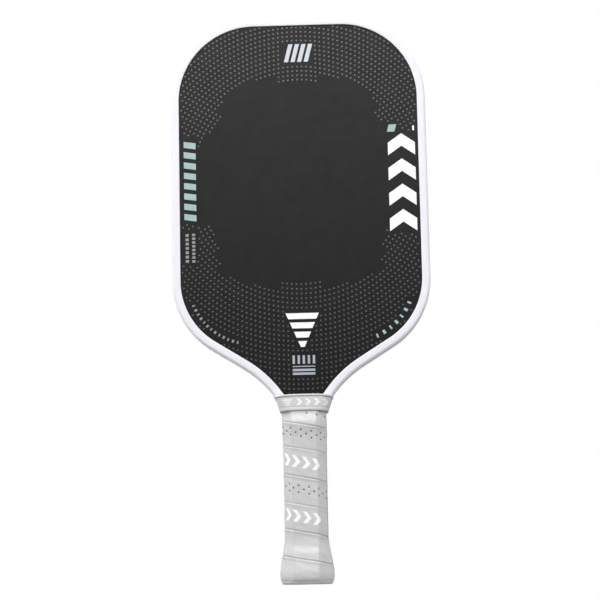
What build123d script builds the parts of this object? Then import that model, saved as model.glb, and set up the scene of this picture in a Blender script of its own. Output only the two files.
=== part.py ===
"""A pickleball paddle: foam-core head with carbon faces, moulded edge guard and wrapped handle.

Frame: the origin is the centre of the butt's end face, +Z runs up the handle to the head,
X is across the head and the front face looks towards -Y.  All lengths are millimetres.
"""
from build123d import *
import math
import os

# ---- driving dimensions -------------------------------------------------------------------
paddle_length = 419.1
head_width = 189.0
panel_thickness = 14.0

# outline of the head, at the outer edge of the guard
corner_radius = 62.6
side_foot = 221.2
shoulder_radius = 59.4
shoulder_slope = 32.0
shoulder_run = 26.5
throat_radius = 82.0

# edge guard and the tape under it
guard_wall = 1.1
guard_lip_width = 6.1
guard_lip_thickness = 0.8
guard_edge_radius = 1.7
guard_foot = 127.5
tape_thickness = 0.8

# layers of the panel
carbon_thickness = 0.35
ply_thickness = 0.35
perimeter_width = 10.0
perimeter_foot = 128.0
tongue_half_width = 12.0
tongue_foot = 3.0
head_blend_foot = 120.0

# handle: half width and half depth of the wrapped octagon, and the shares its bevels take
grip_half_width = 15.6
grip_half_depth = 14.3
grip_bevel = (0.40, 0.43)
octagon_rounding = 2.4
wrap_thickness = 1.9
wrap_foot = 2.0
wrap_top = 127.0
pallet_top = 133.0
pallet_relief_foot = 121.0
pallet_relief_clearance = 0.1
pallet_rounding = 1.0

# flare of the butt: height, half width and half depth of the wrapped outside
flare_sections = [
    (wrap_foot, 18.3, 16.5),
    (3.6, 19.0, 17.2),
    (8.5, 19.4, 17.6),
    (17.5, 18.1, 16.5),
    (24.0, 16.8, 15.4),
    (31.0, grip_half_width, grip_half_depth),
]
cap_top = 29.5
cap_wall = 0.8
butt_edge_radius = 1.8
badge_half_width = 12.0
badge_half_depth = 10.0
badge_thickness = 1.2

# rubber collar and the tape it covers
collar_wall = 1.3
collar_rounding = 6.0
collar_bevel = (0.29, 0.37)
collar_low = (17.5, 16.1)
collar_high = (22.1, 15.9)
collar_low_side = 123.7
collar_low_front = 123.4
collar_high_side = 134.7
collar_high_front = 135.5
collar_lip_height = 1.4
collar_lip_gap = 0.6
collar_margin = 4.0
finishing_tape_thickness = 0.2
finishing_tape_foot = 124.3

# ---- values that follow from the dimensions -------------------------------------------------
half_width = head_width / 2
half_panel = panel_thickness / 2
half_core = half_panel - carbon_thickness - ply_thickness
half_guard = half_panel + guard_lip_thickness
panel_inset = guard_wall + tape_thickness
slope = math.radians(shoulder_slope)
corner_centre = Vector(half_width - corner_radius, paddle_length - corner_radius)
shoulder_centre = Vector(half_width - shoulder_radius, side_foot)
# down and outwards, square to the straight run of the shoulder
run_normal = Vector(math.sin(slope), -math.cos(slope))
run_direction = Vector(-math.cos(slope), -math.sin(slope))
throat_centre = (
    shoulder_centre
    + run_normal * (shoulder_radius + throat_radius)
    + run_direction * shoulder_run
)


# ---- outlines ---------------------------------------------------------------------------------
def head_face(inset, foot, depth=0.0):
    """Face of the head, `inset` inside the guard's outer edge, cut off at height `foot`.

    It faces the front and lies `depth` in front of the middle of the panel.
    """
    reach = throat_radius + inset
    rise = foot - throat_centre.Y
    foot_x = throat_centre.X - math.sqrt(reach**2 - rise**2)
    foot_angle = 180 - math.degrees(math.asin(rise / reach))
    shoulder_reach = shoulder_radius - inset
    run_top = shoulder_centre + run_normal * shoulder_reach
    run_foot = throat_centre - run_normal * reach
    top = paddle_length - inset
    side = half_width - inset
    with BuildSketch(Plane.XZ.offset(depth)) as sketch:
        with BuildLine():
            Line((0, top), (corner_centre.X, top))
            CenterArc(corner_centre, corner_radius - inset, 0, 90)
            Line((side, corner_centre.Y), (side, side_foot))
            CenterArc(shoulder_centre, shoulder_reach, shoulder_slope - 90, 90 - shoulder_slope)
            Line(run_top, run_foot)
            CenterArc(throat_centre, reach, 90 + shoulder_slope, foot_angle - 90 - shoulder_slope)
            Line((foot_x, foot), (0, foot))
            mirror(about=Plane.YZ)
        make_face()
    return sketch.sketch


def tongue_face(depth=0.0):
    """Face of the tongue that carries the panel down through the handle."""
    with BuildSketch(Plane.XZ.offset(depth)) as sketch:
        with Locations((0, (tongue_foot + guard_foot) / 2)):
            Rectangle(2 * tongue_half_width, guard_foot - tongue_foot)
    return sketch.sketch


def octagon_face(
    height, half_x, half_y, inset=0.0, rounding=octagon_rounding, bevel=grip_bevel
):
    """Rounded octagon across the handle at a height, `inset` inside the given half sizes."""
    bevel_x = half_x * bevel[0]
    bevel_y = half_y * bevel[1]
    corners = [
        (half_x, half_y - bevel_y),
        (half_x - bevel_x, half_y),
        (bevel_x - half_x, half_y),
        (-half_x, half_y - bevel_y),
        (-half_x, bevel_y - half_y),
        (bevel_x - half_x, -half_y),
        (half_x - bevel_x, -half_y),
        (half_x, bevel_y - half_y),
    ]
    with BuildSketch(Plane.XY.offset(height)) as sketch:
        with BuildLine():
            Polyline(*corners, close=True)
        make_face()
        if inset:
            offset(amount=-inset, kind=Kind.INTERSECTION)
        fillet(sketch.vertices(), rounding)
    return sketch.sketch


def save(piece, label):
    """Label a finished piece and write it under its own name."""
    piece.part.label = label
    export_step(piece.part, f"parts/{label}.step")


os.makedirs("parts", exist_ok=True)

# ---- the head's layers ------------------------------------------------------------------------
panel_head = head_face(panel_inset, head_blend_foot)
tongue = tongue_face()

with BuildPart() as perimeter_foam:
    extrude(panel_head, amount=half_core, both=True)
    middle = head_face(panel_inset + perimeter_width, guard_foot)
    extrude(middle, amount=half_core, both=True, mode=Mode.SUBTRACT)
    extrude(tongue, amount=half_core, both=True, mode=Mode.SUBTRACT)
    split(bisect_by=Plane.XY.offset(perimeter_foot), keep=Keep.TOP)
save(perimeter_foam, "perimeter_foam")

with BuildPart() as foam_core:
    extrude(panel_head, amount=half_core, both=True)
    extrude(tongue, amount=half_core, both=True)
    add(perimeter_foam.part, mode=Mode.SUBTRACT)
save(foam_core, "foam_core")


def sheet(label, depth, thickness):
    """A sheet as large as the panel and its tongue, `depth` in front of the middle at its back."""
    with BuildPart() as layer:
        extrude(head_face(panel_inset, head_blend_foot, depth), amount=thickness)
        extrude(tongue_face(depth), amount=thickness)
    save(layer, label)


sheet("front_inner_ply", half_core, ply_thickness)
sheet("front_carbon_face", half_core + ply_thickness, carbon_thickness)
sheet("back_inner_ply", -half_core - ply_thickness, ply_thickness)
sheet("back_carbon_face", -half_panel, carbon_thickness)

# ---- tape and guard round the rim -----------------------------------------------------------
with BuildPart() as edge_guard_tape:
    extrude(head_face(guard_wall, guard_foot), amount=half_panel, both=True)
    extrude(panel_head, amount=half_panel, both=True, mode=Mode.SUBTRACT)
save(edge_guard_tape, "edge_guard_tape")

with BuildPart() as edge_guard:
    extrude(head_face(0, guard_foot), amount=half_guard, both=True)
    rims = edge_guard.edges().filter_by(lambda edge: abs(abs(edge.center().Y) - half_guard) < 0.01)
    fillet(rims.filter_by(lambda edge: edge.center().Z > guard_foot + 0.1), guard_edge_radius)
    channel = head_face(guard_wall, head_blend_foot)
    extrude(channel, amount=half_panel, both=True, mode=Mode.SUBTRACT)
    opening = head_face(guard_lip_width, head_blend_foot)
    extrude(opening, amount=half_guard, both=True, mode=Mode.SUBTRACT)
save(edge_guard, "edge_guard")

# ---- handle -----------------------------------------------------------------------------------
pallet_outline = octagon_face(
    tongue_foot, grip_half_width, grip_half_depth, wrap_thickness, pallet_rounding
)


def pallet(label, side):
    """Half shell that clasps the tongue and gives the handle its octagon."""
    with BuildPart() as shell:
        extrude(pallet_outline, amount=pallet_top - tongue_foot)
        split(bisect_by=Plane.XZ, keep=Keep.TOP if side < 0 else Keep.BOTTOM)
        extrude(tongue, amount=half_panel, both=True, mode=Mode.SUBTRACT)
        relief = half_guard + pallet_relief_clearance
        with BuildSketch(Plane.XY.offset(pallet_relief_foot)):
            Rectangle(4 * grip_half_width, 2 * relief)
        extrude(amount=pallet_top - pallet_relief_foot, mode=Mode.SUBTRACT)
    save(shell, label)


pallet("handle_pallet_front", -1)
pallet("handle_pallet_back", 1)

cap_sections = [section for section in flare_sections if section[0] < cap_top]
with BuildPart() as butt_cap:
    for height, half_x, half_y in cap_sections:
        add(octagon_face(height, half_x, half_y, wrap_thickness))
    mouth_x = grip_half_width + cap_wall
    mouth_y = grip_half_depth + cap_wall
    add(octagon_face(cap_top, mouth_x, mouth_y, wrap_thickness))
    loft(ruled=True)
    lip_height, lip_x, lip_y = flare_sections[0]
    extrude(octagon_face(0, lip_x, lip_y), amount=lip_height)
    fillet(butt_cap.edges().group_by(Axis.Z)[0], butt_edge_radius)
    extrude(pallet_outline, amount=cap_top, mode=Mode.SUBTRACT)
    with BuildSketch():
        Ellipse(badge_half_width, badge_half_depth)
    extrude(amount=badge_thickness, mode=Mode.SUBTRACT)
save(butt_cap, "butt_cap")

with BuildPart() as butt_badge:
    with BuildSketch():
        Ellipse(badge_half_width, badge_half_depth)
    extrude(amount=badge_thickness)
save(butt_badge, "butt_badge")

with BuildPart() as cushion_grip:
    for height, half_x, half_y in flare_sections:
        add(octagon_face(height, half_x, half_y))
    add(octagon_face(wrap_top, grip_half_width, grip_half_depth))
    loft(ruled=True)
    add(butt_cap.part, mode=Mode.SUBTRACT)
    extrude(pallet_outline, amount=wrap_top, mode=Mode.SUBTRACT)
save(cushion_grip, "cushion_grip")

with BuildPart() as finishing_tape:
    extrude(
        octagon_face(
            finishing_tape_foot,
            grip_half_width + finishing_tape_thickness,
            grip_half_depth + finishing_tape_thickness,
        ),
        amount=wrap_top - finishing_tape_foot,
    )
    extrude(
        octagon_face(finishing_tape_foot, grip_half_width, grip_half_depth),
        amount=wrap_top - finishing_tape_foot,
        mode=Mode.SUBTRACT,
    )
save(finishing_tape, "finishing_tape")


# ---- collar -----------------------------------------------------------------------------------
def collar_section(height, inset):
    """Rounded octagon of the collar at a height; its sides widen steadily towards the throat."""
    share = (height - collar_low_side) / (collar_high_side - collar_low_side)
    half_x = collar_low[0] + share * (collar_high[0] - collar_low[0])
    half_y = collar_low[1] + share * (collar_high[1] - collar_low[1])
    return octagon_face(
        height, half_x - inset, half_y - inset, rounding=collar_rounding, bevel=collar_bevel
    )


def collar_band(side_low, front_low, side_high, front_high):
    """Face of a band seen from the front, arched up in the middle, wider than the collar."""
    reach = collar_high[0]
    with BuildSketch(Plane.XZ) as sketch:
        with BuildLine():
            ThreePointArc((-reach, side_low), (0, front_low), (reach, side_low))
            Line((reach, side_low), (reach, side_high))
            ThreePointArc((reach, side_high), (0, front_high), (-reach, side_high))
            Line((-reach, side_high), (-reach, side_low))
        make_face()
    return sketch.sketch


def collar_body(inset):
    """Tapered solid of the collar, `inset` inside its outer face, longer than it at both ends."""
    with BuildPart() as body:
        add(collar_section(collar_low_side - collar_margin, inset))
        add(collar_section(collar_high_front + collar_margin, inset))
        loft(ruled=True)
    return body.part


lip_gap = half_guard + collar_lip_gap
whole_band = collar_band(collar_low_side, collar_low_front, collar_high_side, collar_high_front)
open_band = collar_band(
    collar_low_side - collar_margin,
    collar_low_front - collar_margin,
    collar_high_side - collar_lip_height,
    collar_high_front - collar_lip_height,
)
slot_height = collar_high_front - collar_low_side + 2 * collar_margin
with BuildPart() as throat_slot:
    add(collar_body(collar_wall))
    with BuildSketch(Plane.XY.offset(collar_low_side)):
        Rectangle(4 * collar_high[0], 2 * lip_gap)
    extrude(amount=slot_height, mode=Mode.INTERSECT)

with BuildPart() as collar_hollow:
    add(collar_body(collar_wall))
    extrude(open_band, amount=2 * collar_high[0], both=True, mode=Mode.INTERSECT)
    add(throat_slot.part)

with BuildPart() as collar:
    add(collar_body(0))
    extrude(whole_band, amount=2 * collar_high[0], both=True, mode=Mode.INTERSECT)
    add(collar_hollow.part, mode=Mode.SUBTRACT)
save(collar, "collar")
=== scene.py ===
"""Looks of the pickleball paddle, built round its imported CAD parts.

The frame is the part's own: the origin is the centre of the butt's end face, +Z runs up the
handle to the head, X is across the head and the front face looks towards -Y.  Shapes are worked
out in millimetres and turned into metres where a mesh is made.
"""

import math

import bmesh
import bpy
import numpy as np
from mathutils import Matrix, Vector


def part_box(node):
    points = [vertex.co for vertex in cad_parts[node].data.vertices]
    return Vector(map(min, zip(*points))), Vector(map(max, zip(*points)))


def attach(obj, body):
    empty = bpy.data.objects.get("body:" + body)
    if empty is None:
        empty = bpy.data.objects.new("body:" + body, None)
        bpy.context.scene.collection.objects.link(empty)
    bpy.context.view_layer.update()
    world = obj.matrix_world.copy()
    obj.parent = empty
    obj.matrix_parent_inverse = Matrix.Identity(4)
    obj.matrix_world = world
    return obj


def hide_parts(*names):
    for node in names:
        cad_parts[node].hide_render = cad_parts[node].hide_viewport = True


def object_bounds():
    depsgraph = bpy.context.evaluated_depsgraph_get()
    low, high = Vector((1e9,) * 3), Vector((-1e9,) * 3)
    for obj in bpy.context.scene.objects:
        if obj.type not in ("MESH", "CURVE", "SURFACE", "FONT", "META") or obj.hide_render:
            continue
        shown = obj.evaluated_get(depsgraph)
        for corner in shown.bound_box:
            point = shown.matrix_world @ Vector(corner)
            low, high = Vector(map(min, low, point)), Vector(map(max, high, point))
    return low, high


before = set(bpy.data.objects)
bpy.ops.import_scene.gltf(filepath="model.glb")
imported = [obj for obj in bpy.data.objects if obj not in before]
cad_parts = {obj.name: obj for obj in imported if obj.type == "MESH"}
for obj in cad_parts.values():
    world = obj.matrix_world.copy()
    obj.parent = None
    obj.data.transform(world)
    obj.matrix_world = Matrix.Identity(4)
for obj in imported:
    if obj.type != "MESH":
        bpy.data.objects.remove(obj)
cad_low, cad_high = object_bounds()

MM = 0.001
FRONT = -1
BACK = 1

# ---- sizes of the CAD parts, in millimetres ----
paddle_length = cad_high.z / MM
half_width = cad_high.x / MM
face_depth = -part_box("front_carbon_face")[0].y / MM
guard_depth = -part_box("edge_guard")[0].y / MM
guard_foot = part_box("edge_guard")[0].z / MM
wrap_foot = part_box("cushion_grip")[0].z / MM
wrap_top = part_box("cushion_grip")[1].z / MM

# outline of the head at the outer edge of its guard
corner_radius = 62.6
side_foot = 221.2
shoulder_radius = 59.4
shoulder_slope = 32.0
shoulder_run = 26.5
throat_radius = 82.0
guard_lip_width = 6.1
guard_wall = 1.1

# handle: heights with the half width and half depth of the wrapped octagon
handle_sections = [
    (wrap_foot, 18.3, 16.3),
    (3.6, 19.2, 17.25),
    (8.5, 19.35, 17.3),
    (17.5, 18.1, 15.9),
    (24.0, 16.8, 15.0),
    (31.0, 15.5, 14.3),
    (90.0, 15.5, 14.3),
    (112.0, 15.95, 14.5),
    (wrap_top, 15.95, 14.5),
]
front_facet = 9.2
grip_rounding = 2.8
inner_gap = 1.55

# collar: half width and half depth at its foot and its top, and the arch of both edges
collar_low = (17.1, 14.6)
collar_high = (21.1, 15.7)
collar_low_side = 123.2
collar_low_front = 123.8
collar_high_side = 134.7
collar_high_front = 135.5
collar_wall = 1.3
collar_foot_wall = 0.75
collar_bevel = 5.3
collar_rounding = 6.0


# ---- small helpers ----
def smooth(value, low, high):
    """0 below low, 1 above high, and an even S-curve between them."""
    share = np.clip((value - low) / (high - low), 0.0, 1.0)
    return share * share * (3.0 - 2.0 * share)


def hump(value, middle, reach):
    """1 at the middle, falling away on both sides within about `reach`."""
    return np.exp(-(((value - middle) / reach) ** 2))


def mesh_piece(name, points, faces, material, rounded=True):
    """A closed mesh from points in millimetres, facing outwards and riding on the paddle."""
    mesh = bpy.data.meshes.new(name)
    mesh.from_pydata((np.asarray(points, float) * MM).tolist(), [], faces)
    mesh.validate()
    turned = bmesh.new()
    turned.from_mesh(mesh)
    bmesh.ops.recalc_face_normals(turned, faces=turned.faces)
    turned.to_mesh(mesh)
    turned.free()
    mesh.polygons.foreach_set("use_smooth", [rounded] * len(mesh.polygons))
    mesh.materials.append(material)
    piece = bpy.data.objects.new(name, mesh)
    bpy.context.scene.collection.objects.link(piece)
    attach(piece, "root")
    return piece


def ring_faces(ring_count, ring_size, close_rings):
    """Quads between successive rings of points.

    close_rings joins the last ring to the first; without it both end rings are filled in.
    """
    faces = []
    last = ring_count if close_rings else ring_count - 1
    for ring in range(last):
        here = ring * ring_size
        there = (ring + 1) % ring_count * ring_size
        for step in range(ring_size):
            ahead = (step + 1) % ring_size
            faces.append((here + step, here + ahead, there + ahead, there + step))
    if not close_rings:
        faces.append(tuple(range(ring_size))[::-1])
        faces.append(tuple(range(last * ring_size, ring_count * ring_size)))
    return faces


def mark_seams(piece, values):
    """Gives each point its share of painted shade, for the material to read."""
    seam = piece.data.attributes.new("seam", "FLOAT", "POINT")
    seam.data.foreach_set("value", np.asarray(values, np.float32))


# ---- materials ----
def add_node(tree, kind, inputs=(), **properties):
    """A node with its properties set and its inputs linked or given values."""
    made = tree.nodes.new(kind)
    for key, value in properties.items():
        setattr(made, key, value)
    for socket, value in dict(inputs).items():
        if isinstance(value, bpy.types.NodeSocket):
            tree.links.new(value, made.inputs[socket])
        else:
            made.inputs[socket].default_value = value
    return made


class Surface:
    """One Principled material, with short calls for the nodes that feed it."""

    def __init__(self, name, **settings):
        self.material = bpy.data.materials.new(name)
        self.material.use_nodes = True
        self.tree = self.material.node_tree
        self.shader = next(n for n in self.tree.nodes if n.type == "BSDF_PRINCIPLED")
        for socket, value in settings.items():
            self.shader.inputs[socket.replace("_", " ")].default_value = value
        self.place = self.node("ShaderNodeTexCoord").outputs["Object"]
        self.axes = self.node("ShaderNodeSeparateXYZ", {"Vector": self.place}).outputs
        self.relief = None

    def node(self, kind, inputs=(), **properties):
        return add_node(self.tree, kind, inputs, **properties)

    def noise(self, size, detail=3.0, stretch=None):
        """Smooth noise whose features are about `size` millimetres wide."""
        place = self.place
        if stretch:
            inputs = {"Vector": place, "Scale": stretch}
            place = self.node("ShaderNodeMapping", inputs).outputs["Vector"]
        inputs = {"Vector": place, "Scale": 1 / (size * MM), "Detail": detail}
        return self.node("ShaderNodeTexNoise", inputs).outputs["Fac"]

    def cells(self, size):
        """Distance to the nearest cell centre, with cells about `size` millimetres wide."""
        inputs = {"Vector": self.place, "Scale": 1 / (size * MM)}
        return self.node("ShaderNodeTexVoronoi", inputs).outputs["Distance"]

    def maths(self, operation, first, second=0.0):
        made = self.node("ShaderNodeMath", {0: first, 1: second}, operation=operation)
        return made.outputs[0]

    def spread(self, value, low, high, start, stop):
        """value between low and high turned into a number from start to stop."""
        sockets = ("Value", "From Min", "From Max", "To Min", "To Max")
        inputs = dict(zip(sockets, (value, low, high, start, stop)))
        return self.node("ShaderNodeMapRange", inputs).outputs["Result"]

    def uneven(self, size, start, stop, detail=3.0):
        """A number that wanders from start to stop over patches `size` millimetres wide."""
        return self.spread(self.noise(size, detail), 0.3, 0.7, start, stop)

    def weave(self, pitch):
        """Two sets of crossing threads `pitch` millimetres apart, from -1 to 1."""
        threads = [
            self.maths("SINE", self.maths("MULTIPLY", self.axes[axis], math.pi / (pitch * MM)))
            for axis in ("X", "Z")
        ]
        return self.maths("MULTIPLY", *threads)

    def from_below(self, low, high):
        """1 up to the height `low`, fading to 0 at the height `high`, both in millimetres."""
        return self.spread(self.axes["Z"], low * MM, high * MM, 1.0, 0.0)

    def mixed(self, share, first, second):
        """The first colour, turning into the second as the share goes from 0 to 1."""
        inputs = {0: share, 6: first, 7: second}
        return self.node("ShaderNodeMix", inputs, data_type="RGBA").outputs[2]

    def grimed(self, colour, grime):
        """The colour, darkened by painted shade where the mesh marks it."""
        seam = self.node("ShaderNodeAttribute", attribute_name="seam").outputs["Fac"]
        return self.mixed(self.spread(seam, 0.0, 1.0, 0.0, 0.8), colour, grime)

    def raise_by(self, height, distance):
        """Adds relief: height 1 stands `distance` millimetres above height 0."""
        inputs = {"Height": height, "Distance": distance * MM, "Strength": 1.0}
        if self.relief is not None:
            inputs["Normal"] = self.relief
        self.relief = self.node("ShaderNodeBump", inputs).outputs["Normal"]

    def done(self, colour, roughness):
        """Links the colour, roughness and relief, and returns the material."""
        self.tree.links.new(colour, self.shader.inputs["Base Color"])
        self.tree.links.new(roughness, self.shader.inputs["Roughness"])
        self.tree.links.new(self.relief, self.shader.inputs["Normal"])
        return self.material


def grey(value, red=0.0, blue=0.0):
    """A grey with a little red and blue added or taken away."""
    return (value + red, value, value + blue, 1.0)


def carbon_surface():
    """Raw carbon sheet: close-woven and sanded, nearly black, with painted shade darkening it
    towards the throat.
    """
    s = Surface("carbon_sheet", Specular_IOR_Level=0.2)
    weave = s.weave(0.95)
    s.raise_by(s.spread(weave, -1, 1, 0, 1), 0.035)
    s.raise_by(s.noise(0.35, 4.0), 0.06)
    tows = s.noise(2.4, 2.0, stretch=(1, 1, 0.04))
    colour = s.mixed(tows, grey(0.0145), grey(0.0185, 0.0003, 0.0006))
    colour = s.mixed(s.uneven(60.0, 0.0, 0.4, 2.0), colour, grey(0.0205))
    colour = s.mixed(s.spread(weave, 0.2, 1.0, 0.0, 0.25), colour, grey(0.027))
    specks = s.spread(s.noise(0.8, 5.0), 0.7, 0.78, 0.0, 0.5)
    colour = s.mixed(specks, colour, grey(0.04))
    # Painted shade: darker towards the throat, fully below 120 mm and fading out by 400 mm.
    colour = s.mixed(s.from_below(120, 400), colour, (0.0020, 0.0016, 0.0018, 1.0))
    return s.done(colour, s.uneven(9.0, 0.52, 0.64, 4.0))


def ink_surface(name, main, worn, roughness=0.5, fade=None):
    """Screen-printed ink with pinholes and slightly uneven cover."""
    s = Surface(name, Specular_IOR_Level=0.35)
    colour = s.mixed(s.uneven(14.0, 0.0, 0.35), main, worn)
    # Painted shade: darker towards the bottom, between the given heights.
    if fade:
        low, high, faded = fade
        colour = s.mixed(s.from_below(low, high), colour, faded)
    pinholes = s.spread(s.noise(0.5), 0.62, 0.74, 0.0, 0.55)
    colour = s.mixed(pinholes, colour, worn)
    s.raise_by(s.noise(0.6), 0.02)
    return s.done(colour, s.uneven(3.0, roughness - 0.06, roughness + 0.08))


def guard_surface():
    """White moulded guard: satin, faintly cool, with scuffs and a dusting of dirt."""
    s = Surface("guard_white", Specular_IOR_Level=0.45)
    colour = s.mixed(s.noise(22.0), (0.775, 0.765, 0.812, 1.0), (0.80, 0.79, 0.835, 1.0))
    scuffs = s.spread(s.noise(1.6, 6.0, stretch=(1, 1, 0.35)), 0.66, 0.76, 0.0, 0.35)
    colour = s.mixed(scuffs, colour, (0.70, 0.69, 0.71, 1.0))
    s.raise_by(s.noise(0.45), 0.018)
    s.raise_by(s.noise(7.0, 2.0), 0.05)
    return s.done(colour, s.uneven(5.0, 0.36, 0.5, 4.0))


def wrap_surface():
    """Tacky polyurethane wrap: pale grey, fine pebbled grain, with painted shade down in the seams.
    """
    s = Surface("grip_wrap", Specular_IOR_Level=0.8)
    colour = s.mixed(s.noise(11.0, 4.0), grey(0.54, -0.004, 0.006), grey(0.585, 0.002, -0.002))
    grain = s.cells(0.55)
    colour = s.mixed(s.spread(grain, 0.0, 0.5, 0.14, 0.0), colour, grey(0.50))
    handled = s.spread(s.noise(26.0), 0.5, 0.75, 0.0, 0.3)
    colour = s.mixed(handled, colour, (0.575, 0.57, 0.55, 1.0))
    s.raise_by(s.spread(grain, 0.0, 0.6, 0.0, 1.0), 0.035)
    s.raise_by(s.noise(1.7, 4.0), 0.05)
    # Painted shade in the seams' grooves and over the inner side, from the mesh's seam marks.
    return s.done(s.grimed(colour, grey(0.25)), s.uneven(4.0, 0.32, 0.42))


def hole_surface():
    """Near-black discs at the bottom of the wrap's perforations: painted shade for the depth of each
    hole.
    """
    s = Surface("hole_painted_shade", Specular_IOR_Level=0.1)
    colour = s.mixed(s.noise(0.4), grey(0.07), grey(0.15))
    s.raise_by(s.noise(0.2), 0.05)
    return s.done(colour, s.uneven(0.5, 0.85, 0.98))


def collar_surface():
    """Pale grey silicone-like rubber with a soft bloom."""
    s = Surface("collar_rubber", Specular_IOR_Level=0.4)
    colour = s.mixed(s.noise(8.0, 4.0), grey(0.64), grey(0.70))
    dust = s.spread(s.noise(0.9, 5.0), 0.62, 0.75, 0.0, 0.5)
    colour = s.mixed(dust, colour, grey(0.77))
    s.raise_by(s.noise(0.5), 0.03)
    # Painted shade at the collar's foot, in its grooves and over its inner side, from the mesh's
    # seam marks.
    return s.done(s.grimed(colour, grey(0.24)), s.uneven(3.0, 0.46, 0.6))


def moulded_surface(name, dark, light, grain=0.8, roughness=0.45):
    """Moulded plastic: slight flow marks and a fine spark-eroded grain."""
    s = Surface(name, Specular_IOR_Level=0.45)
    colour = s.mixed(s.noise(9.0, 4.0), dark, light)
    s.raise_by(s.noise(grain, 4.0), 0.04)
    return s.done(colour, s.uneven(2.5, roughness - 0.06, roughness + 0.08))


def foam_surface(name, dark, light, cell):
    """Closed-cell foam: rounded cells with darker walls."""
    s = Surface(name, Specular_IOR_Level=0.2)
    cells = s.cells(cell)
    colour = s.mixed(s.spread(cells, 0.0, 0.7, 0.0, 1.0), light, dark)
    colour = s.mixed(s.uneven(18.0, 0.0, 0.3), colour, dark)
    s.raise_by(s.spread(cells, 0.0, 0.7, 1.0, 0.0), 0.25 * cell)
    return s.done(colour, s.uneven(3.0, 0.75, 0.92))


def woven_surface(name, dark, light, pitch, roughness):
    """Woven glass or tape cloth: two sets of threads crossing."""
    s = Surface(name, Specular_IOR_Level=0.35)
    weave = s.spread(s.weave(pitch), -1, 1, 0, 1)
    s.raise_by(weave, 0.12 * pitch)
    colour = s.mixed(weave, dark, light)
    return s.done(colour, s.uneven(4.0, roughness - 0.08, roughness + 0.08))


def paper_surface():
    """Pale studio floor, very slightly mottled."""
    s = Surface("studio_floor", Specular_IOR_Level=0.2)
    colour = s.mixed(s.noise(400.0), grey(0.30), grey(0.32))
    s.raise_by(s.noise(2.0), 0.05)
    return s.done(colour, s.uneven(60.0, 0.75, 0.85))


carbon = carbon_surface()
guard_white = guard_surface()
wrap_grey = wrap_surface()
hole_dark = hole_surface()
collar_grey = collar_surface()
cap_grey = moulded_surface("cap_grey", grey(0.52), grey(0.59))
badge_grey = moulded_surface("badge_grey", grey(0.36), grey(0.42, 0.0, 0.01), 0.5, 0.38)
pallet_dark = moulded_surface("pallet_dark", grey(0.11), grey(0.16), 1.5, 0.7)
core_foam = foam_surface("core_foam", grey(0.70, 0.02, -0.06), grey(0.84, 0.01, -0.05), 1.6)
rim_foam = foam_surface("rim_foam", grey(0.12), grey(0.22), 0.9)
glass_cloth = woven_surface("glass_cloth", grey(0.34), grey(0.52, -0.01, -0.04), 1.1, 0.45)
tape_cloth = woven_surface("tape_cloth", grey(0.045), grey(0.09), 0.6, 0.6)
white_ink = ink_surface("ink_white", grey(0.93), grey(0.85))
silver_ink = ink_surface("ink_silver", (0.60, 0.62, 0.69, 1.0), (0.54, 0.56, 0.62, 1.0))
slate_ink = ink_surface("ink_slate", (0.40, 0.42, 0.475, 1.0), (0.35, 0.37, 0.42, 1.0))
fine_ink = ink_surface("ink_fine_print", grey(0.29), grey(0.25))
mint_ink = ink_surface("ink_mint", (0.35, 0.50, 0.485, 1.0), (0.30, 0.43, 0.42, 1.0))
# The dots get painted shade towards the throat, like the carbon face under them.
dot_ink = ink_surface(
    "ink_dots", grey(0.165), grey(0.12), 0.55, fade=(150.0, 400.0, grey(0.072, 0.004, 0.0))
)

node_materials = {
    "front_carbon_face": carbon,
    "back_carbon_face": carbon,
    "front_inner_ply": glass_cloth,
    "back_inner_ply": glass_cloth,
    "foam_core": core_foam,
    "perimeter_foam": rim_foam,
    "edge_guard_tape": tape_cloth,
    "edge_guard": guard_white,
    "handle_pallet_front": pallet_dark,
    "handle_pallet_back": pallet_dark,
    "butt_cap": cap_grey,
    "butt_badge": badge_grey,
    "cushion_grip": wrap_grey,
    "finishing_tape": tape_cloth,
    "collar": collar_grey,
}
for node_name, node_material in node_materials.items():
    for material_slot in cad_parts[node_name].material_slots:
        material_slot.material = node_material


# ---- the head's outline ----
def arc(centre, radius, start, stop, count):
    angles = np.radians(np.linspace(start, stop, count))
    return centre + radius * np.c_[np.cos(angles), np.sin(angles)]


slope = math.radians(shoulder_slope)
corner_centre = np.array([half_width - corner_radius, paddle_length - corner_radius])
shoulder_centre = np.array([half_width - shoulder_radius, side_foot])
run_normal = np.array([math.sin(slope), -math.cos(slope)])
run_direction = np.array([-math.cos(slope), -math.sin(slope)])
throat_centre = (
    shoulder_centre
    + run_normal * (shoulder_radius + throat_radius)
    + run_direction * shoulder_run
)


def head_outline(inset, foot):
    """Outline of the head, `inset` inside the guard's outer edge, from foot to foot.

    It runs up the right side, over the top and down the left side, with the same number of
    points at every inset.
    """
    reach = throat_radius + inset
    foot_angle = 180 - math.degrees(math.asin((foot - throat_centre[1]) / reach))
    throat = arc(throat_centre, reach, foot_angle, 90 + shoulder_slope, 30)
    shoulder = arc(shoulder_centre, shoulder_radius - inset, shoulder_slope - 90, 0, 30)
    corner = arc(corner_centre, corner_radius - inset, 0, 90, 44)
    side_steps = np.linspace(0, 1, 12)[1:-1, None]
    side = shoulder[-1] + side_steps * (corner[0] - shoulder[-1])
    right = np.concatenate([throat, shoulder, side, corner])
    left = right[::-1] * [-1, 1]
    return np.concatenate([right, left])


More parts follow.
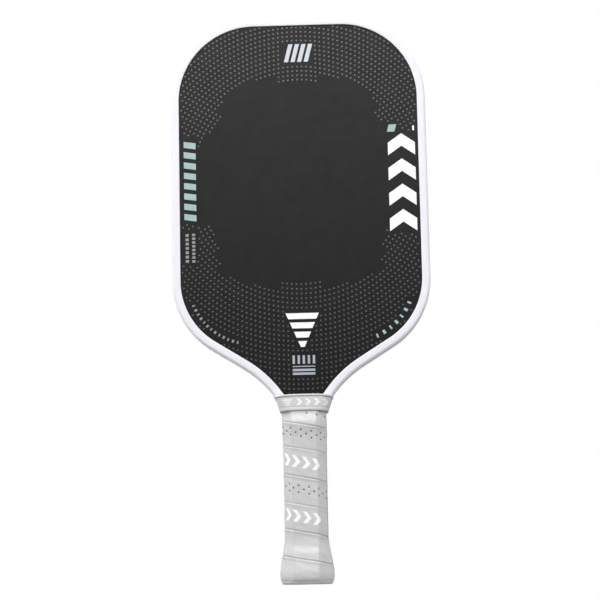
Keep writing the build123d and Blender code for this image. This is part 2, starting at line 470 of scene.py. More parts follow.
# ---- edge guard ----
def guard_profile():
    """Half of the guard's section, (inset, depth), from the lip's inner edge to mid rim."""
    edge_roll = 0.42
    rim_radius = 2.0
    bead_height = 0.14
    lip_edge = guard_lip_width - edge_roll
    points = [(guard_lip_width, face_depth - 0.02)]
    for turn in np.radians(np.linspace(0, 90, 5)):
        rise = guard_depth - face_depth - edge_roll + edge_roll * math.sin(turn)
        points.append((lip_edge + edge_roll * math.cos(turn), face_depth + rise))
    points.append((4.0, guard_depth + 0.03))
    points.append((2.8, guard_depth + 0.02))
    for turn in np.radians(np.linspace(90, 180, 9)):
        inset = rim_radius + rim_radius * math.cos(turn)
        points.append((inset, guard_depth - rim_radius + rim_radius * math.sin(turn)))
    points += [(0.0, 4.0), (0.0, 1.2), (0.04, 0.8), (-bead_height, 0.6), (-bead_height - 0.03, 0.0)]
    return points


def build_guard():
    """The moulded channel round the head, with a rolled lip edge and a fine mould bead."""
    half = guard_profile()
    outside = half + [(inset, -depth) for inset, depth in half[-2::-1]]
    inner_depth = face_depth - 0.02
    inside = [(guard_wall, depth) for depth in (-inner_depth, 0.0, inner_depth)]
    strands = []
    for inset, depth in outside + inside:
        line = head_outline(inset, guard_foot)
        strands.append(np.c_[line[:, 0], np.full(len(line), -depth), line[:, 1]])
    rings = np.array(strands).transpose(1, 0, 2)
    faces = ring_faces(*rings.shape[:2], close_rings=False)
    piece = mesh_piece(
        "edge_guard_channel", rings.reshape(-1, 3), faces, guard_white
    )
    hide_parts("edge_guard")


build_guard()


# ---- handle sections ----
def rounded_octagon(half_x, half_y, bevel, rounding, samples):
    """Points spaced evenly round a rounded octagon, from its front middle towards +X."""
    quarter = [(half_x - bevel, -half_y), (half_x, bevel - half_y)]
    right = quarter + [(x, -y) for x, y in quarter[::-1]]
    corners = np.array(right + [(-x, y) for x, y in right[::-1]])
    path = [np.array([[0.0, -half_y]])]
    for index, corner in enumerate(corners):
        before = corners[index - 1] - corner
        after = corners[(index + 1) % len(corners)] - corner
        before *= rounding * 0.45 / np.linalg.norm(before)
        after *= rounding * 0.45 / np.linalg.norm(after)
        share = np.linspace(0, 1, 9)[:, None]
        path.append(corner + (1 - share) ** 2 * before + share**2 * after)
    path.append(np.array([[0.0, -half_y]]))
    path = np.concatenate(path)
    along = np.concatenate([[0], np.cumsum(np.linalg.norm(np.diff(path, axis=0), axis=1))])
    at = np.linspace(0, along[-1], samples, endpoint=False)
    return np.c_[np.interp(at, along, path[:, 0]), np.interp(at, along, path[:, 1])]


class Handle:
    """The wrapped handle's outside, read by height and by phase.

    Phase is the share of the way round from the front middle, positive towards +X.
    """

    samples = 720
    level_step = 0.5

    def __init__(self):
        self.levels = np.arange(0.0, wrap_top + 10.0, self.level_step)
        heights, half_x, half_y = np.array(handle_sections).T
        widths = self.eased(np.interp(self.levels, heights, half_x))
        depths = self.eased(np.interp(self.levels, heights, half_y))
        self.table = np.array(
            [
                rounded_octagon(width, depth, width - front_facet, grip_rounding, self.samples)
                for width, depth in zip(widths, depths)
            ]
        )
        ahead = np.roll(self.table, -2, axis=1) - np.roll(self.table, 2, axis=1)
        outward = np.stack([ahead[..., 1], -ahead[..., 0]], axis=-1)
        self.outward = outward / np.linalg.norm(outward, axis=-1, keepdims=True)

    def eased(self, values):
        """Rounds off the kinks between the flare's straight stretches."""
        reach = int(2.5 / self.level_step)
        padded = np.pad(values, reach, mode="edge")
        kernel = np.hanning(2 * reach + 3)[1:-1]
        return np.convolve(padded, kernel / kernel.sum(), mode="valid")

    def girth(self, height):
        """Distance round the wrap at a height."""
        ring = self.table[int(height / self.level_step)]
        return np.linalg.norm(ring - np.roll(ring, 1, axis=0), axis=1).sum()

    def read(self, height, phase):
        """Point and outward direction, both in X and Y."""
        level = np.clip(height / self.level_step, 0, len(self.levels) - 1.001)
        low = level.astype(int)
        up = (level - low)[..., None]
        step = np.mod(phase, 1.0) * self.samples
        here = step.astype(int) % self.samples
        ahead = (here + 1) % self.samples
        along = (step - np.floor(step))[..., None]

        def blended(table):
            first = table[low, here] * (1 - along) + table[low, ahead] * along
            second = table[low + 1, here] * (1 - along) + table[low + 1, ahead] * along
            return first * (1 - up) + second * up

        return blended(self.table), blended(self.outward)


handle = Handle()
grip_girth = handle.girth(70.0)

# ---- cushion grip ----
# Height of each seam at the front middle, from turn -1 on, and how strongly it stands out, from
# turn 0 on.  The wrap is one strip, so a seam falls by one pitch in each turn towards +X.
seam_heights = np.array([-22.1, -2.6, 16.9, 36.5, 55.5, 75.5, 95.9, 113.4, 132.5, 152.0])
seam_turns = np.arange(-1, 9)
seam_strengths = np.array([0.6, 1.0, 1.0, 0.45, 1.0, 0.5, 1.0, 0.6, 0.6])
perforated_turns = (3, 5, 6)
printed_turns = (2, 4)
# Heights on the wide sides: the flare's fold at the front middle, the bulge under the collar, and
# the stretches over which the wrap thins towards the collar and towards the butt's end.
fold_middle = 21.5
neck_bulge = 113.5
neck_thin = (115.5, 124.0)
heel_thin = (1.5, 4.5)


def seam_height(turn):
    return np.interp(turn, seam_turns, seam_heights)


def kept_on_handle(turn, phase):
    """The turn, held between the wrap's foot and its top end."""
    ends = np.interp((wrap_foot, wrap_top), seam_heights, seam_turns)
    return np.clip(turn, phase + ends[0], phase + ends[1])


def within_turn(turn):
    """The turn's number, and the distances up from its own seam and up to the next one."""
    whole = np.floor(turn)
    width = seam_height(whole + 1) - seam_height(whole)
    above = (turn - whole) * width
    return whole, above, width - above


def wrap_relief(turn, phase, height, facing):
    """How far the wrap stands out or in: rolled lips, tucked edges, bulges and puckers."""
    whole, above, below = within_turn(turn)
    index = np.arange(len(seam_strengths))
    upper = np.interp(whole + 1 - phase, index, seam_strengths)
    lower = np.interp(whole - phase, index, seam_strengths)
    waver = 0.8 + 0.2 * np.sin(2 * math.pi * (5 * phase + 0.37 * whole))
    lip = 0.34 * upper * waver * smooth(below, 0.0, 0.4) * (1 - smooth(below, 0.6, 2.8))
    tuck = -(0.10 + 0.2 * lower) * (1 - smooth(above, 0.15, 1.3))
    crown = 0.10 * np.sin(math.pi * (turn - whole))
    fold_height = fold_middle - 0.06 * phase * grip_girth
    fold = 0.8 * facing * (1 - smooth(height, fold_height, fold_height + 6.0))
    heel = -0.3 * facing * (1 - smooth(height, *heel_thin))
    neck = facing * (1.1 * hump(height, neck_bulge, 6.0) - smooth(height, *neck_thin))
    pucker = 0.05 * np.sin(2 * math.pi * (11 * phase + height / 7.3))
    pucker *= np.sin(2 * math.pi * (3 * phase - height / 19.0))
    roll = -0.3 * (1 - smooth(height, wrap_foot, wrap_foot + 0.9))
    return lip + tuck + crown + fold + heel + neck + pucker + roll


def seam_shade(turn, phase):
    """Painted shade down in the groove beside a seam, deepest towards the right, 0 away from it."""
    whole, above, below = within_turn(turn)
    index = np.arange(len(seam_strengths))
    strength = np.interp(whole - phase, index, seam_strengths)
    strength = strength * (0.55 + 0.45 * smooth(phase, -0.1, 0.15))
    return strength * np.maximum(1 - smooth(above, 0.1, 0.95), 1 - smooth(below, 0.0, 0.2))


# Holes: spacing along the strip, gap between rows and height of the middle row over the seam
hole_pitch = 7.35
hole_row_gap = 2.4
hole_row_height = 11.2
hole_radius = 0.64
hole_dip = 0.45
# How far along the strip the outer rows' holes are from the front middle, for each turn
hole_starts = {3: 2.6, 5: 5.0, 6: 2.0}
# The collar covers what is higher.
hole_top = 122.0


def hole_spots(turn_number):
    """Holes of one turn, (distance along the strip from the front middle, height over seam)."""
    spots = []
    for row in (-1, 0, 1):
        shift = hole_starts[turn_number] + (hole_pitch / 2 if row == 0 else 0.0)
        for step in range(-7, 8):
            spots.append((shift + step * hole_pitch, hole_row_height + row * hole_row_gap))
    foot = seam_height(turn_number)
    pitch = seam_height(turn_number + 1) - foot
    return [
        (along, above)
        for along, above in spots
        if abs(along) < 0.47 * grip_girth and foot + above - pitch * along / grip_girth < hole_top
    ]


def hole_depth(turn, phase):
    """Dips pressed into the wrap round each perforation."""
    whole, above, _ = within_turn(turn)
    along = phase * grip_girth
    dip = np.zeros_like(along)
    for number in perforated_turns:
        here = whole == number
        for spot_along, spot_above in hole_spots(number):
            distance = np.hypot(along[here] - spot_along, above[here] - spot_above)
            dip[here] = np.maximum(dip[here], 1 - smooth(distance, 0.35, 0.95))
    return dip


def wrap_point(turn, phase, lift=0.0):
    """Points of the wrap's outside in millimetres, `lift` above its skin."""
    turn = kept_on_handle(turn, phase)
    height = seam_height(turn - phase)
    flat, outward = handle.read(height, phase)
    facing = outward[..., 1] ** 2
    out = wrap_relief(turn, phase, height, facing) - hole_dip * hole_depth(turn, phase) + lift
    flat = flat + outward * out[..., None]
    return np.concatenate([flat, height[..., None]], axis=-1)


def build_wrap():
    """One strip wound up the handle; the mesh follows it, so every seam lies along an edge."""
    columns = 232
    rows_per_turn = 50
    seam_crowding = 0.78
    top_turn = 7.25
    first_row = -rows_per_turn // 2
    last_row = int(top_turn * rows_per_turn)
    row = np.arange(first_row, last_row + 1)
    even = row / rows_per_turn
    turn = even - seam_crowding / (2 * math.pi) * np.sin(2 * math.pi * even)
    phase = np.arange(columns) / columns - 0.5
    turn, phase = np.meshgrid(turn, phase, indexing="ij")
    points = wrap_point(turn, phase).reshape(-1, 3)
    dirt = seam_shade(turn, phase).reshape(-1)
    rows = len(row)
    faces = []
    for at in range(rows - 1):
        for column in range(columns):
            here = at * columns + column
            above = here + columns
            if column + 1 < columns:
                faces.append((here, here + 1, above + 1, above))
            elif at >= rows_per_turn:
                back = (at - rows_per_turn) * columns
                faces.append((here, back, back + columns, above))
    piece = mesh_piece("cushion_grip_wrap", points, faces, wrap_grey)
    mark_seams(piece, dirt)
    close_wrap(piece)
    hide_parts("cushion_grip")


def close_wrap(piece):
    """Drops what was clamped to the ends, and gives the wrap its inner side."""
    heights, half_x, half_y = np.array(handle_sections).T
    mesh = bmesh.new()
    mesh.from_mesh(piece.data)
    for level in (wrap_foot, wrap_top):
        flat = [
            face
            for face in mesh.faces
            if all(abs(vertex.co.z - level * MM) < 1e-7 for vertex in face.verts)
        ]
        bmesh.ops.delete(mesh, geom=flat, context="FACES")
    bmesh.ops.remove_doubles(mesh, verts=mesh.verts, dist=0.004 * MM)
    loose = [vertex for vertex in mesh.verts if not vertex.link_faces]
    bmesh.ops.delete(mesh, geom=loose, context="VERTS")
    rims = [edge for edge in mesh.edges if edge.is_boundary]
    top_rim = [edge for edge in rims if edge.verts[0].co.z > wrap_top / 2 * MM]
    loop = [edge for edge in rims if edge.verts[0].co.z < wrap_top / 2 * MM]
    seam = mesh.verts.layers.float["seam"]
    size = np.array([half_x[0], half_y[0]])
    for level in (wrap_foot, 3.6, 8.5, 17.5, 24.0, 31.0, 90.0, wrap_top):
        inner = np.array([np.interp(level, heights, half) for half in (half_x, half_y)])
        inner -= inner_gap
        made = bmesh.ops.extrude_edge_only(mesh, edges=loop)["geom"]
        fresh = {item for item in made if isinstance(item, bmesh.types.BMVert)}
        loop = [edge for edge in made if isinstance(edge, bmesh.types.BMEdge)]
        loop = [edge for edge in loop if fresh.issuperset(edge.verts)]
        for vertex in fresh:
            vertex.co.x *= inner[0] / size[0]
            vertex.co.y *= inner[1] / size[1]
            vertex.co.z = level * MM
            # The wrap's end face at its foot and its inner side are painted in full shade.
            vertex[seam] = 1.0
        size = inner
    bmesh.ops.bridge_loops(mesh, edges=loop + top_rim)
    bmesh.ops.recalc_face_normals(mesh, faces=mesh.faces)
    mesh.to_mesh(piece.data)
    mesh.free()
    piece.data.polygons.foreach_set("use_smooth", [True] * len(piece.data.polygons))


build_wrap()


# ---- collar ----
collar_columns = 256
collar_phases = np.arange(collar_columns) / collar_columns


def collar_point(share, out, phase):
    """Points of the collar's outside; share runs from its foot, 0, to its top, 1."""
    half_x = collar_low[0] + share * (collar_high[0] - collar_low[0]) + out
    half_y = collar_low[1] + share * (collar_high[1] - collar_low[1]) + out
    ring = rounded_octagon(half_x, half_y, collar_bevel, collar_rounding, 1440)
    step = (np.mod(phase, 1.0) * len(ring)).astype(int)
    flat = ring[step]
    across = (flat[:, 0] / half_x) ** 2
    foot = collar_low_front + across * (collar_low_side - collar_low_front)
    top = collar_high_front + across * (collar_high_side - collar_high_front)
    return np.c_[flat, foot + share * (top - foot)]


# (share up the collar, distance out, painted shade at the foot and in the grooves) up the outer side
collar_profile = [
    (0.0, -0.65, 1.0),
    (0.0, -0.40, 1.0),
    (0.015, -0.12, 0.5),
    (0.045, 0.10, 0.0),
    (0.09, 0.22, 0.0),
    (0.16, 0.16, 0.0),
    (0.21, -0.02, 0.15),
    (0.235, -0.06, 0.2),
    (0.27, 0.02, 0.05),
    (0.40, 0.02, 0.0),
    (0.60, 0.0, 0.0),
    (0.80, 0.0, 0.0),
    (0.845, -0.03, 0.2),
    (0.865, -0.22, 0.9),
    (0.88, -0.22, 0.9),
    (0.895, 0.10, 0.2),
    (0.915, 0.40, 0.0),
    (0.945, 0.55, 0.0),
    (0.975, 0.50, 0.0),
    (1.0, 0.02, 0.0),
    (1.01, -0.5, 0.0),
]


def build_collar():
    """Rubber band over the wrap's end, closed in to the panel at its top."""
    slot_half_x = 20.5
    slot_half_y = guard_depth + 0.15
    shelf_rise = 0.9
    rows = [(collar_point(share, out, collar_phases), dark) for share, out, dark in collar_profile]
    rim = rows[-1][0]
    slot = rim.copy()
    slot[:, 0] = np.clip(rim[:, 0], -slot_half_x, slot_half_x)
    slot[:, 1] = np.clip(rim[:, 1], -slot_half_y, slot_half_y)
    slot[:, 2] += shelf_rise
    rows += [(rim + share * (slot - rim), 0.0) for share in (0.35, 0.7, 0.97)]
    # The collar's underside and inner side are painted in deep shade.
    rows += [(slot - [0, 0, 0.35], 0.8), (slot - [0, 0, 3.0], 1.0)]
    rows.append((collar_point(0.75, -collar_wall, collar_phases), 1.0))
    rows.append((collar_point(0.0, -collar_foot_wall, collar_phases), 1.0))
    rings, shade = zip(*rows)
    faces = ring_faces(len(rings), collar_columns, close_rings=True)
    piece = mesh_piece("collar_band", np.concatenate(rings), faces, collar_grey)
    mark_seams(piece, np.repeat(shade, collar_columns))
    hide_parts("collar")


build_collar()


# ---- butt badge ----
def build_badge():
    """Plain oval disc in the butt's end, with a flat rim, a groove and a slightly sunken middle."""
    low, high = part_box("butt_badge")
    half_x = high.x / MM
    half_y = high.y / MM
    thickness = high.z / MM
    count = 96
    angles = np.linspace(0, 2 * math.pi, count, endpoint=False)
    profile = [(1.0, thickness), (1.0, 0.12), (0.975, 0.0), (0.90, 0.0), (0.87, 0.22), (0.80, 0.26)]
    profile += [(0.62, 0.26), (0.60, 0.10), (0.30, 0.08), (0.02, 0.07)]
    rings = []
    for share, height in profile:
        ring = np.c_[half_x * share * np.cos(angles), half_y * share * np.sin(angles)]
        rings.append(np.c_[ring, np.full(count, height)])
    faces = ring_faces(len(rings), count, close_rings=False)
    piece = mesh_piece("butt_badge_disc", np.concatenate(rings), faces, badge_grey)
    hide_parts("butt_badge")


build_badge()

# ---- printed films ----
film_proud = 0.05
film_sunk = 0.08


class Film:
    """Printed shapes as thin closed slabs, laid on a surface by `place(points, lift)`."""

    def __init__(self, place):
        self.place = place
        self.points = []
        self.faces = []

    def slab(self, flat, proud, sunk):
        """Adds the 2-D points twice, raised and sunk, and returns where each copy starts."""
        base = sum(len(block) for block in self.points)
        self.points += [self.place(flat, proud), self.place(flat, -sunk)]
        return base, base + len(flat)

    def wall(self, rim, depth):
        """Joins a closed rim of raised points to the sunk ones, `depth` places further on."""
        for a, b in zip(rim, rim[1:] + rim[:1]):
            self.faces.append((a, a + depth, b + depth, b))

    def ladder(self, rungs, along=1, across=1):
        """The area between successive rungs, each a pair of 2-D points."""
        rungs = [np.array(rung, float) for rung in rungs]
        steps = [
            start + (stop - start) * step / along
            for start, stop in zip(rungs, rungs[1:])
            for step in range(along)
        ]
        steps.append(rungs[-1])
        share = np.linspace(0, 1, across + 1)[:, None]
        grid = np.array([near + (far - near) * share for near, far in steps])
        raised, sunk = self.slab(grid.reshape(-1, 2), film_proud, film_sunk)
        spots = raised + np.arange(sunk - raised).reshape(grid.shape[:2])
        for near, far in zip(spots.tolist(), spots[1:].tolist()):
            for quad in zip(near, far, far[1:], near[1:]):
                self.faces.append(quad)
                self.faces.append(tuple(corner + sunk - raised for corner in quad[::-1]))
        sides = (spots[0, :-1], spots[:-1, -1], spots[-1, :0:-1], spots[:0:-1, 0])
        self.wall(np.concatenate(sides).tolist(), sunk - raised)

    def discs(self, centres, radius, sides, proud, sunk):
        """A many-sided disc round each centre."""
        angles = np.linspace(0, 2 * math.pi, sides, endpoint=False)
        ring = radius * np.c_[np.cos(angles), np.sin(angles)]
        flat = (np.array(centres)[:, None, :] + ring).reshape(-1, 2)
        first, last = self.slab(flat, proud, sunk)
        for start in range(first, last, sides):
            rim = list(range(start, start + sides))
            self.faces.append(tuple(rim))
            self.faces.append(tuple(corner + last - first for corner in rim[::-1]))
            self.wall(rim, last - first)

    def bar(self, left, right, low, high, lean=0.0, **fineness):
        """Upright bar whose top is shifted sideways by `lean`."""
        rungs = [((left, low), (left + lean, high)), ((right, low), (right + lean, high))]
        self.ladder(rungs, **fineness)

    def chevron(self, left, right, low, rise, thickness, **fineness):
        """Chevron pointing up."""
        middle = (left + right) / 2
        ends = [(left, low), (middle, low + rise), (right, low)]
        self.ladder([((x, z), (x, z + thickness)) for x, z in ends], **fineness)

    def arrow(self, left, low, high, depth, thickness, **fineness):
        """Chevron pointing towards the right."""
        middle = (low + high) / 2
        ends = [(left, low), (left + depth, middle), (left, high)]
        self.ladder([((x, z), (x + thickness, z)) for x, z in ends], **fineness)

    def piece(self, name, material, slot):
        points = np.concatenate(self.points)
        mesh_piece(name, points, self.faces, material, rounded=False)


def on_face(side):
    """Lays a film on the head's front or back; the back reads the same way as the front."""

    def place(flat, lift):
        x = -side * flat[:, 0]
        y = np.full(len(flat), side * (face_depth + lift))
        return np.c_[x, y, flat[:, 1]]

    return place


# ---- printed marks on the head ----
# Boxes round each mark, (left, right, low, high), which the dot field leaves clear.
mark_boxes = {
    "crest": (-9.6, 11.8, 384.9, 398.6),
    "column": (66.0, 86.0, 254.8, 328.3),
    "column_tick": (65.5, 72.7, 329.7, 335.2),
    "side_blocks": (-85.1, -76.2, 265.8, 328.0),
    "side_ticks": (-84.4, -77.3, 235.1, 257.7),
    "wedge": (-12.0, 12.3, 170.8, 195.7),
    "label": (-7.5, 8.9, 150.4, 164.7),
}
column_dash = (84.4, 85.7, 330.3, 334.0)
wedge_tip = 1.4
arc_mark_radius = 47.6
arc_mark_left = (202.6, 255.3)
arc_mark_right = (-65.8, -24.4)


def add_crest(film):
    """Four leaning bars side by side."""
    left, right, low, high = mark_boxes["crest"]
    lean = 3.6
    gap = 1.8
    pitch = (right - left - lean + gap) / 4
    for step in range(4):
        start = left + step * pitch
        film.bar(start, start + pitch - gap, low, high, lean)


def add_column(film):
    """Four large chevrons stacked up the right side."""
    left, right, low, high = mark_boxes["column"]
    rise = 7.0
    thickness = 9.4
    pitch = (high - low - rise - thickness) / 3
    for step in range(4):
        film.chevron(left, right, low + step * pitch, rise, thickness)


def add_side_ticks(film):
    """Two columns of short ticks low on the left."""
    left, right, low, high = mark_boxes["side_ticks"]
    width = 2.3
    filled = 0.62
    for start, count in ((left, 7), (right - width, 8)):
        pitch = (high - low) / count
        for step in range(count):
            foot = low + step * pitch
            film.bar(start, start + width, foot, foot + filled * pitch)


def add_arc_ticks(film, side, angles, count, length, thickness):
    """Ticks along an arc that follows the shoulder, every other one half as thick again."""
    centre = shoulder_centre * [side, 1]
    for step, angle in enumerate(np.linspace(*angles, count)):
        half = math.degrees(thickness / 2 / arc_mark_radius) * (1.0 + 0.5 * (step % 2))
        near = arc(centre, arc_mark_radius - length / 2, angle - half, angle + half, 2)
        far = arc(centre, arc_mark_radius + length / 2, angle - half, angle + half, 2)
        film.ladder([(near[0], far[0]), (near[1], far[1])])


def add_left_arc(film):
    add_arc_ticks(film, -1, arc_mark_left, count=13, length=2.1, thickness=1.0)


def add_right_arc(film):
    add_arc_ticks(film, 1, arc_mark_right, count=7, length=3.0, thickness=1.3)


def add_wedge(film):
    """Four bars that shorten downwards, with ends cut to one slope."""
    left, right, low, high = mark_boxes["wedge"]
    middle = (left + right) / 2
    half_top = (right - left) / 2
    bars = 4
    gap = 2.5
    thickness = (high - low - (bars - 1) * gap) / bars
    for step in range(bars):
        foot = low + step * (thickness + gap)
        share = [(z - low) / (high - low) for z in (foot, foot + thickness)]
        edge = [wedge_tip + (half_top - wedge_tip) * up for up in share]
        near = ((middle - edge[0], foot), (middle - edge[1], foot + thickness))
        far = ((middle + edge[0], foot), (middle + edge[1], foot + thickness))
        film.ladder([near, far])


def add_label_ticks(film):
    """Five upright ticks over a thin line."""
    left, right, low, high = mark_boxes["label"]
    gap = 2.0
    tick_height = 6.2
    line = (low + 5.8, low + 6.5)
    pitch = (right - left + gap) / 5
    for step in range(5):
        start = left + step * pitch
        film.bar(start, start + pitch - gap, high - tick_height, high)
    film.bar(left, right, *line)


def add_side_blocks(film):
    """Eight slanted blocks down the left side."""
    left, right, low, high = mark_boxes["side_blocks"]
    slant = 1.3
    height = 4.6
    pitch = (high - low) / 8
    for step in range(8):
        foot = low + step * pitch
        near = ((left, foot + slant), (left, foot + slant + height))
        far = ((right, foot), (right, foot + height))
        film.ladder([near, far])


def add_column_tick(film):
    """Small leaning block over the column."""
    left, right, low, high = mark_boxes["column_tick"]
    lean = 1.6
    film.bar(left, right - lean, low, high, lean)


def add_column_dash(film):
    """Fine upright dash at the column's top right."""
    film.bar(*column_dash)


def add_label_bars(film):
    """Two bars along the label's foot."""
    left, right, low, _ = mark_boxes["label"]
    pitch = 2.7
    thickness = 1.7
    for foot in (low, low + pitch):
        film.bar(left, right, foot, foot + thickness)


mark_inks = {
    "white": (white_ink, (add_column, add_column_dash, add_wedge)),
    "silver": (silver_ink, (add_crest,)),
    "slate": (slate_ink, (add_label_ticks, add_label_bars)),
    "fine": (fine_ink, (add_side_ticks, add_left_arc)),
    "mint": (mint_ink, (add_side_blocks, add_column_tick, add_right_arc)),
}


def build_marks(side, side_name):
    """The head's printed marks, one film for each ink."""
    for ink_name, (ink, shapes) in mark_inks.items():
        film = Film(on_face(side))
        for add_shape in shapes:
            add_shape(film)
        film.piece(f"{side_name}_marks_{ink_name}", ink, "carbon_face")


# ---- dot field ----
field_centre = 296.0
dot_pitch = 3.45
dot_radius = 0.64
dot_sides = 10
dot_gap_to_guard = 0.7
dot_gap_to_mark = 1.3
collar_clearance = 1.2
# Inner edge of each half of the field: up to each angle from the vertical, in degrees, its radius.
top_blank = (
    (11.0, 72.5), (22.0, 80.5), (43.0, 83.0), (48.0, 79.0), (54.0, 75.2), (62.0, 73.0), (90.0, 77.5)
)
bottom_blank = (
    (11.5, 77.5), (25.0, 83.5), (36.0, 87.5), (43.0, 89.5), (48.0, 85.0), (57.0, 78.5), (65.0, 75.0),
    (90.0, 82.5),
)
# Each half: which way it runs from the centre, first ring's radius, ring pitch and inner edge.
field_halves = ((1, 75.3, 3.35, top_blank), (-1, 75.4, 3.5, bottom_blank))


def within(spots, outline):
    """Which 2-D spots lie inside a closed outline, by counting the edges to their right."""
    ahead = np.roll(outline, -1, axis=0)
    x = spots[:, :1]
    z = spots[:, 1:]
    rise = ahead[:, 1] - outline[:, 1]
    crossed = (outline[:, 1] > z) != (ahead[:, 1] > z)
    level = np.where(rise == 0, 1.0, rise)
    edge_x = outline[:, 0] + (z - outline[:, 1]) / level * (ahead[:, 0] - outline[:, 0])
    return (crossed & (edge_x > x)).sum(axis=1) % 2 == 1


def clear_zones():
    """Outlines round the marks that the dot field leaves clear."""
    gap = dot_gap_to_mark + dot_radius
    zones = []
    for name, (left, right, low, high) in mark_boxes.items():
        foot_left = left
        foot_right = right
        if name == "wedge":
            foot_left = (left + right) / 2 - wedge_tip
            foot_right = (left + right) / 2 + wedge_tip
        foot = [(foot_left - gap, low - gap), (foot_right + gap, low - gap)]
        zones.append(np.array(foot + [(right + gap, high + gap), (left - gap, high + gap)]))
    return zones


def ring_dots(radius, blank_steps):
    """Dots of one ring as angles from the vertical, leaving out those in the blank middle."""
    step_angle = dot_pitch / radius
    count = int((math.pi / 2 - 0.45 * step_angle) / step_angle)
    angles = step_angle * np.arange(-count, count + 1)
    limits, edges = np.array(blank_steps).T
    edge = edges[np.searchsorted(limits, np.abs(np.degrees(angles)), side="left")]
    return angles[radius >= edge]


def dot_centres():
    """Centres of the dots: rings about the field's centre, counted out from the vertical."""
    rings = []
    for half, first_radius, ring_pitch, blank_steps in field_halves:
        for radius in np.arange(first_radius, paddle_length / 2, ring_pitch):
            angles = ring_dots(radius, blank_steps)
            height = field_centre + half * radius * np.cos(angles)
            rings.append(np.c_[radius * np.sin(angles), height])
    centres = np.concatenate(rings)
    margin = guard_lip_width + dot_gap_to_guard + dot_radius
    centres = centres[within(centres, head_outline(margin, guard_foot))]
    centres = centres[centres[:, 1] > collar_high_front + collar_clearance]
    for zone in clear_zones():
        centres = centres[~within(centres, zone)]
    for side, angles in ((-1, arc_mark_left), (1, arc_mark_right)):
        offset = centres - shoulder_centre * [side, 1]
        reach = np.hypot(*offset.T)
        angle = np.degrees(np.arctan2(offset[:, 1], offset[:, 0]))
        angle = np.where(angle < angles[0] - 90, angle + 360, angle)
        on_arc = (angle > angles[0] - 4) & (angle < angles[1] + 4)
        centres = centres[~(on_arc & (np.abs(reach - arc_mark_radius) < 3.2))]
    return centres


def build_dots(side, side_name, centres):
    """The dot field, as small many-sided films on the face."""
    film = Film(on_face(side))
    film.discs(centres, dot_radius, dot_sides, 0.8 * film_proud, film_sunk)
    film.piece(f"{side_name}_dot_field", dot_ink, "carbon_face")


field = dot_centres()
for face_side, face_name in ((FRONT, "front"), (BACK, "back")):
    build_marks(face_side, face_name)
    build_dots(face_side, face_name, field)


# ---- printed marks on the grip and the collar, and the wrap's holes ----
def on_wrap(turn_number):
    """Lays a film on one turn; flat points are distance along the strip and height over seam."""
    width = seam_height(turn_number + 1) - seam_height(turn_number)

    def place(flat, lift):
        return wrap_point(turn_number + flat[:, 1] / width, flat[:, 0] / grip_girth, lift)

    return place


def build_grip_prints():
    """Four arrows on each printed turn."""
    sizes = {"low": 6.4, "high": 14.8, "depth": 3.2, "thickness": 3.0, "along": 14, "across": 6}
    for turn_number in printed_turns:
        film = Film(on_wrap(turn_number))
        for left in (-16.6, -9.4, -2.2, 5.0):
            film.arrow(left, **sizes)
        film.piece(f"grip_print_{turn_number}", white_ink, "grip")


def build_hole_backing():
    """Dark discs at the bottom of the wrap's perforations, painted shade for the depth of each hole.
    """
    film = Film(None)
    for turn_number in perforated_turns:
        film.place = on_wrap(turn_number)
        film.discs(hole_spots(turn_number), hole_radius, 14, 0.05, 0.1)
    film.piece("grip_perforations", hole_dark, "grip")


def on_collar(flat, lift):
    """Lays a film on the collar's front; flat points are X and share up the collar."""
    placed = []
    for x, share in flat:
        phases = np.linspace(-0.25, 0.25, 1441)
        line = collar_point(share, lift + 0.05, phases)
        placed.append([np.interp(x, line[:, 0], line[:, axis]) for axis in range(3)])
    return np.array(placed)


def build_collar_print():
    """A small wedge of bars and four arrows across the collar's front."""
    film = Film(on_collar)
    wedge_middle = -11.5
    for low, high, half in ((0.62, 0.72, 3.4), (0.47, 0.57, 2.3), (0.32, 0.42, 1.2)):
        film.bar(wedge_middle - half, wedge_middle + half, low, high, along=4)
    sizes = {"low": 0.32, "high": 0.74, "depth": 2.2, "thickness": 2.4, "along": 8, "across": 3}
    for left in (-5.4, 0.9, 7.2, 13.5):
        film.arrow(left, **sizes)
    film.piece("collar_print", white_ink, "collar")


build_grip_prints()
build_hole_backing()
build_collar_print()

# ---- floor, light and camera ----
floor_height = -0.03
floor_radius = 3.0
haze_start = 0.7
haze_full = 2.4
haze_radius = 20.0
side_wall_grey = 0.62


def stage_disc(name, radius, height, material):
    """Flat round piece of the studio."""
    count = 96
    angles = np.linspace(0, 2 * math.pi, count, endpoint=False)
    rim = [(radius * math.cos(a), radius * math.sin(a), 0.0) for a in angles]
    mesh = bpy.data.meshes.new(name)
    mesh.from_pydata(rim, [], [tuple(range(count))])
    mesh.materials.append(material)
    disc = bpy.data.objects.new(name, mesh)
    disc.location.z = height
    bpy.context.scene.collection.objects.link(disc)
    return disc


def build_floor():
    """Pale floor a little under the butt, which fades into the surroundings.

    The haze that fades it is seen by the camera only, and gives no light.
    """
    stage_disc("floor", floor_radius, floor_height, paper_surface())
    haze = stage_disc("haze", haze_radius, floor_height + 0.001, haze_surface())
    haze.visible_diffuse = False
    haze.visible_glossy = False
    haze.visible_shadow = False


def wall_shade(tree, direction):
    """Brightness of the surroundings: white beyond the paddle's back, pale grey elsewhere."""
    axes = add_node(tree, "ShaderNodeSeparateXYZ", {"Vector": direction})
    inputs = {"Value": axes.outputs["Y"], "To Min": side_wall_grey, "To Max": 1.0}
    inputs.update({"From Min": 0.55, "From Max": 0.92})
    shade = add_node(tree, "ShaderNodeMapRange", inputs, interpolation_type="SMOOTHSTEP")
    return shade.outputs["Result"]


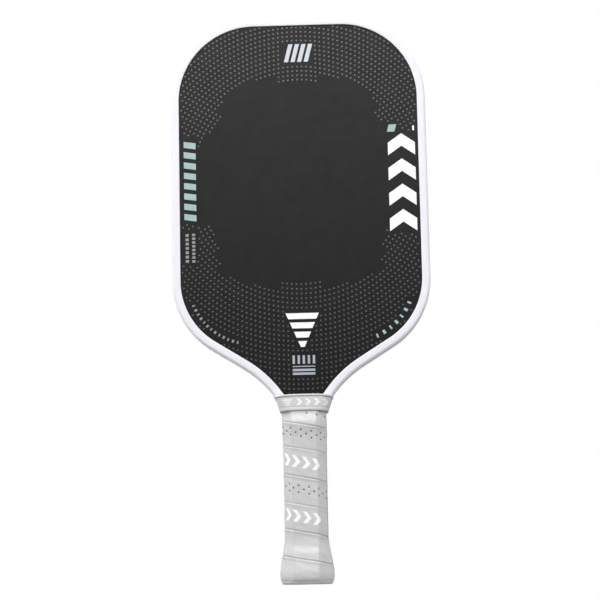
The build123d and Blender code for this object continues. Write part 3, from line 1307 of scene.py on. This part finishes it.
def haze_surface():
    """Glow over the floor: clear near the paddle, and solid where the floor ends."""
    s = Surface("studio_haze", Specular_IOR_Level=0.0, Roughness=1.0)
    s.shader.inputs["Base Color"].default_value = grey(0.0)
    s.shader.inputs["Emission Color"].default_value = grey(1.0)
    outwards = s.node("ShaderNodeVectorMath", {0: s.place}, operation="NORMALIZE")
    shade = wall_shade(s.tree, outwards.outputs["Vector"])
    s.tree.links.new(shade, s.shader.inputs["Emission Strength"])
    away = s.node("ShaderNodeVectorMath", {0: s.place}, operation="LENGTH").outputs["Value"]
    inputs = {"Value": away, "From Min": haze_start, "From Max": haze_full}
    cover = s.node("ShaderNodeMapRange", inputs, interpolation_type="SMOOTHSTEP")
    s.tree.links.new(cover.outputs["Result"], s.shader.inputs["Alpha"])
    return s.material


def direction(azimuth, elevation):
    """Unit vector out from the paddle; azimuth 0 is in front and 90 at +X."""
    turn = math.radians(azimuth)
    lift = math.radians(elevation)
    level = math.cos(lift)
    return Vector((math.sin(turn) * level, -math.cos(turn) * level, math.sin(lift)))


def softbox(name, azimuth, elevation, distance, side, power):
    """Large square lamp aimed at the paddle's middle."""
    towards = direction(azimuth, elevation)
    lamp = bpy.data.lights.new(name, "AREA")
    lamp.size = side
    lamp.energy = power
    holder = bpy.data.objects.new(name, lamp)
    holder.location = (cad_low + cad_high) / 2 + distance * towards
    holder.rotation_euler = (-towards).to_track_quat("-Z", "Y").to_euler()
    holder.visible_camera = False
    bpy.context.scene.collection.objects.link(holder)


def build_world():
    """Pale surroundings that only the camera sees; the softboxes give the light."""
    world = bpy.data.worlds.new("pale_surroundings")
    bpy.context.scene.world = world
    world.use_nodes = True
    tree = world.node_tree
    background = tree.nodes["Background"]
    background.inputs["Color"].default_value = grey(1.0)
    place = add_node(tree, "ShaderNodeTexCoord").outputs["Generated"]
    tree.links.new(wall_shade(tree, place), background.inputs["Strength"])
    world.cycles_visibility.diffuse = False
    world.cycles_visibility.glossy = False
    bpy.context.scene.view_settings.view_transform = "Standard"


def build_camera():
    """Long lens slightly to the right of the front and a little below the middle."""
    distance = 1.400
    roll = math.radians(-1.179)
    aim = Vector((-0.00138, 0.0, 0.20648))
    back = direction(1.5, -9.0)
    level = (-back).cross(Vector((0, 0, 1))).normalized()
    upright = level.cross(-back)
    right = math.cos(roll) * level + math.sin(roll) * upright
    up = math.cos(roll) * upright - math.sin(roll) * level
    lens = bpy.data.cameras.new("camera")
    lens.sensor_width = 36.0
    lens.lens = 114.47
    camera = bpy.data.objects.new("camera", lens)
    turned = Matrix((right, up, back)).transposed().to_4x4()
    camera.matrix_world = Matrix.Translation(aim + distance * back) @ turned
    bpy.context.scene.collection.objects.link(camera)
    bpy.context.scene.camera = camera


build_floor()
build_world()
softbox("key_above_left", -24, 60, 2.0, 2.4, 61)
softbox("fill_front", 6, 28, 2.2, 2.0, 25)
softbox("fill_left", -95, 20, 1.8, 1.4, 13)
softbox("fill_right", 95, 20, 1.8, 1.4, 9)
softbox("key_back", 160, 50, 2.0, 2.0, 28)
softbox("fill_back", 200, 12, 2.2, 2.0, 22)
build_camera()
